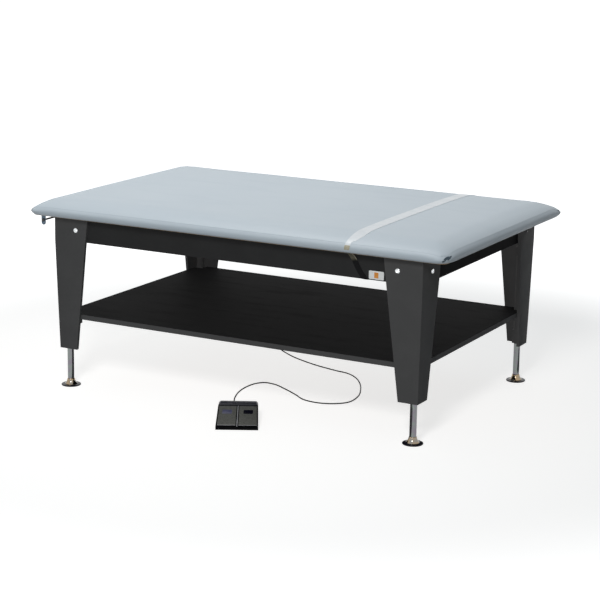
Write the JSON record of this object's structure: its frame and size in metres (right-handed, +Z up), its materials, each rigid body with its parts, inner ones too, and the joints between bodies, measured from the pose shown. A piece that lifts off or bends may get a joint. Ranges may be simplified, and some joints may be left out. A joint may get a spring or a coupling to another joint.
{
  "type": "treatment plinth",
  "caption": "Wide powered treatment plinth: vinyl pad on a black board frame, low shelf, lift columns with levelling feet and a twin-pedal foot switch.",
  "frame": {"origin": "on the floor, at the middle of the plan of the pad and the foot switch together", "axes": "+X towards the foot end, where the band goes over the pad; -Y towards the front, where the foot switch lies; +Z up"},
  "size_m": [1.93, 1.3788, 0.8125],
  "materials": {
    "vinyl": "satin",
    "laminate": "satin",
    "deck_ply": "matte",
    "chrome": "polished",
    "black_steel": "satin",
    "cast_alloy": "matte",
    "black_plastic": "matte",
    "pedal_plastic": "matte",
    "hose_rubber": "matte",
    "band": "satin",
    "elastic": "matte",
    "label": "satin",
    "bracket_steel": "satin"
  },
  "bodies": {
    "root": {"lift_rod_front_left": "chrome", "foot_hub_front_left": "chrome", "pedal_base": "black_plastic", "pedal_rear_cover": "black_plastic", "pedal_pin": "chrome", "microswitch_left": "black_plastic", "microswitch_right": "black_plastic", "pedal_cord": "hose_rubber", "pedal_cord_relief": "hose_rubber"},
    "foot_front_right": {"lift_rod_front_right": "chrome", "foot_hub_front_right": "chrome"},
    "foot_rear_right": {"lift_rod_rear_right": "chrome", "foot_hub_rear_right": "chrome"},
    "foot_rear_left": {"lift_rod_rear_left": "chrome", "foot_hub_rear_left": "chrome"},
    "glide_front_left": {"foot_glide_front_left": "black_plastic"},
    "glide_front_right": {"foot_glide_front_right": "black_plastic"},
    "glide_rear_right": {"foot_glide_rear_right": "black_plastic"},
    "glide_rear_left": {"foot_glide_rear_left": "black_plastic"},
    "pedal_left": {"pedal_left": "pedal_plastic"},
    "pedal_right": {"pedal_right": "pedal_plastic"},
    "roll_bar": {"roll_bar": "black_steel"},
    "frame": {"control_box": "black_plastic", "control_box_gland": "black_plastic", "cushion": "vinyl", "deck_board": "deck_ply", "label_plate": "label", "leg_bolt_front_left_end": "chrome", "leg_bolt_front_left_long": "chrome", "leg_bolt_front_right_end": "chrome", "leg_bolt_front_right_long": "chrome", "leg_bolt_rear_left_end": "chrome", "leg_bolt_rear_left_long": "chrome", "leg_bolt_rear_right_end": "chrome", "leg_bolt_rear_right_long": "chrome", "leg_front_left": "laminate", "leg_front_right": "laminate", "leg_rear_left": "laminate", "leg_rear_right": "laminate", "lift_cylinder_front_left": "black_steel", "lift_cylinder_front_right": "black_steel", "lift_cylinder_rear_left": "black_steel", "lift_cylinder_rear_right": "black_steel", "oil_hose_front_left": "hose_rubber", "oil_hose_front_right": "hose_rubber", "oil_hose_rear_left": "hose_rubber", "oil_hose_rear_right": "hose_rubber", "oil_tank": "black_plastic", "paper_strap": "band", "pump_block": "cast_alloy", "pump_motor": "black_steel", "rail_front": "laminate", "rail_left": "laminate", "rail_rear": "laminate", "rail_right": "laminate", "roll_bracket_front": "bracket_steel", "roll_bracket_rear": "bracket_steel", "shelf": "laminate", "strap_tail_front": "elastic", "strap_tail_rear": "elastic"}
  },
  "joints": [
    {"name": "lift", "type": "slide", "parent": "root", "child": "frame", "axis": [0, 0, 1], "range_m": [-0.134, 0.16], "deforming": ["pedal_cord"]},
    {"name": "lift_front_right", "type": "slide", "parent": "frame", "child": "foot_front_right", "axis": [0, 0, -1], "range_m": [-0.134, 0.16]},
    {"name": "lift_rear_right", "type": "slide", "parent": "frame", "child": "foot_rear_right", "axis": [0, 0, -1], "range_m": [-0.134, 0.16]},
    {"name": "lift_rear_left", "type": "slide", "parent": "frame", "child": "foot_rear_left", "axis": [0, 0, -1], "range_m": [-0.134, 0.16]},
    {"name": "level_front_left", "type": "slide", "parent": "root", "child": "glide_front_left", "axis": [0, 0, -1], "range_m": [0, 0.012]},
    {"name": "level_front_right", "type": "slide", "parent": "foot_front_right", "child": "glide_front_right", "axis": [0, 0, -1], "range_m": [0, 0.012]},
    {"name": "level_rear_right", "type": "slide", "parent": "foot_rear_right", "child": "glide_rear_right", "axis": [0, 0, -1], "range_m": [0, 0.012]},
    {"name": "level_rear_left", "type": "slide", "parent": "foot_rear_left", "child": "glide_rear_left", "axis": [0, 0, -1], "range_m": [0, 0.012]},
    {"name": "press_left", "type": "hinge", "parent": "root", "child": "pedal_left", "pos_m": [0.05431, -0.5034, 0.044], "axis": [0.8796, 0.4757, 0], "range_deg": [0, 1.4], "stiffness_Nm_per_rad": 2, "springref_deg": -5.73},
    {"name": "press_right", "type": "hinge", "parent": "root", "child": "pedal_right", "pos_m": [0.05431, -0.5034, 0.044], "axis": [0.8796, 0.4757, 0], "range_deg": [0, 1.4], "stiffness_Nm_per_rad": 2, "springref_deg": -5.73},
    {"name": "roll_turn", "type": "hinge", "parent": "frame", "child": "roll_bar", "pos_m": [-0.905, 0.07897, 0.716], "axis": [0, 1, 0], "continuous": true}
  ],
  "couplings": [
    {"joint": "lift_front_right", "follows": "lift", "ratio": 1},
    {"joint": "lift_rear_right", "follows": "lift", "ratio": 1},
    {"joint": "lift_rear_left", "follows": "lift", "ratio": 1}
  ]
}
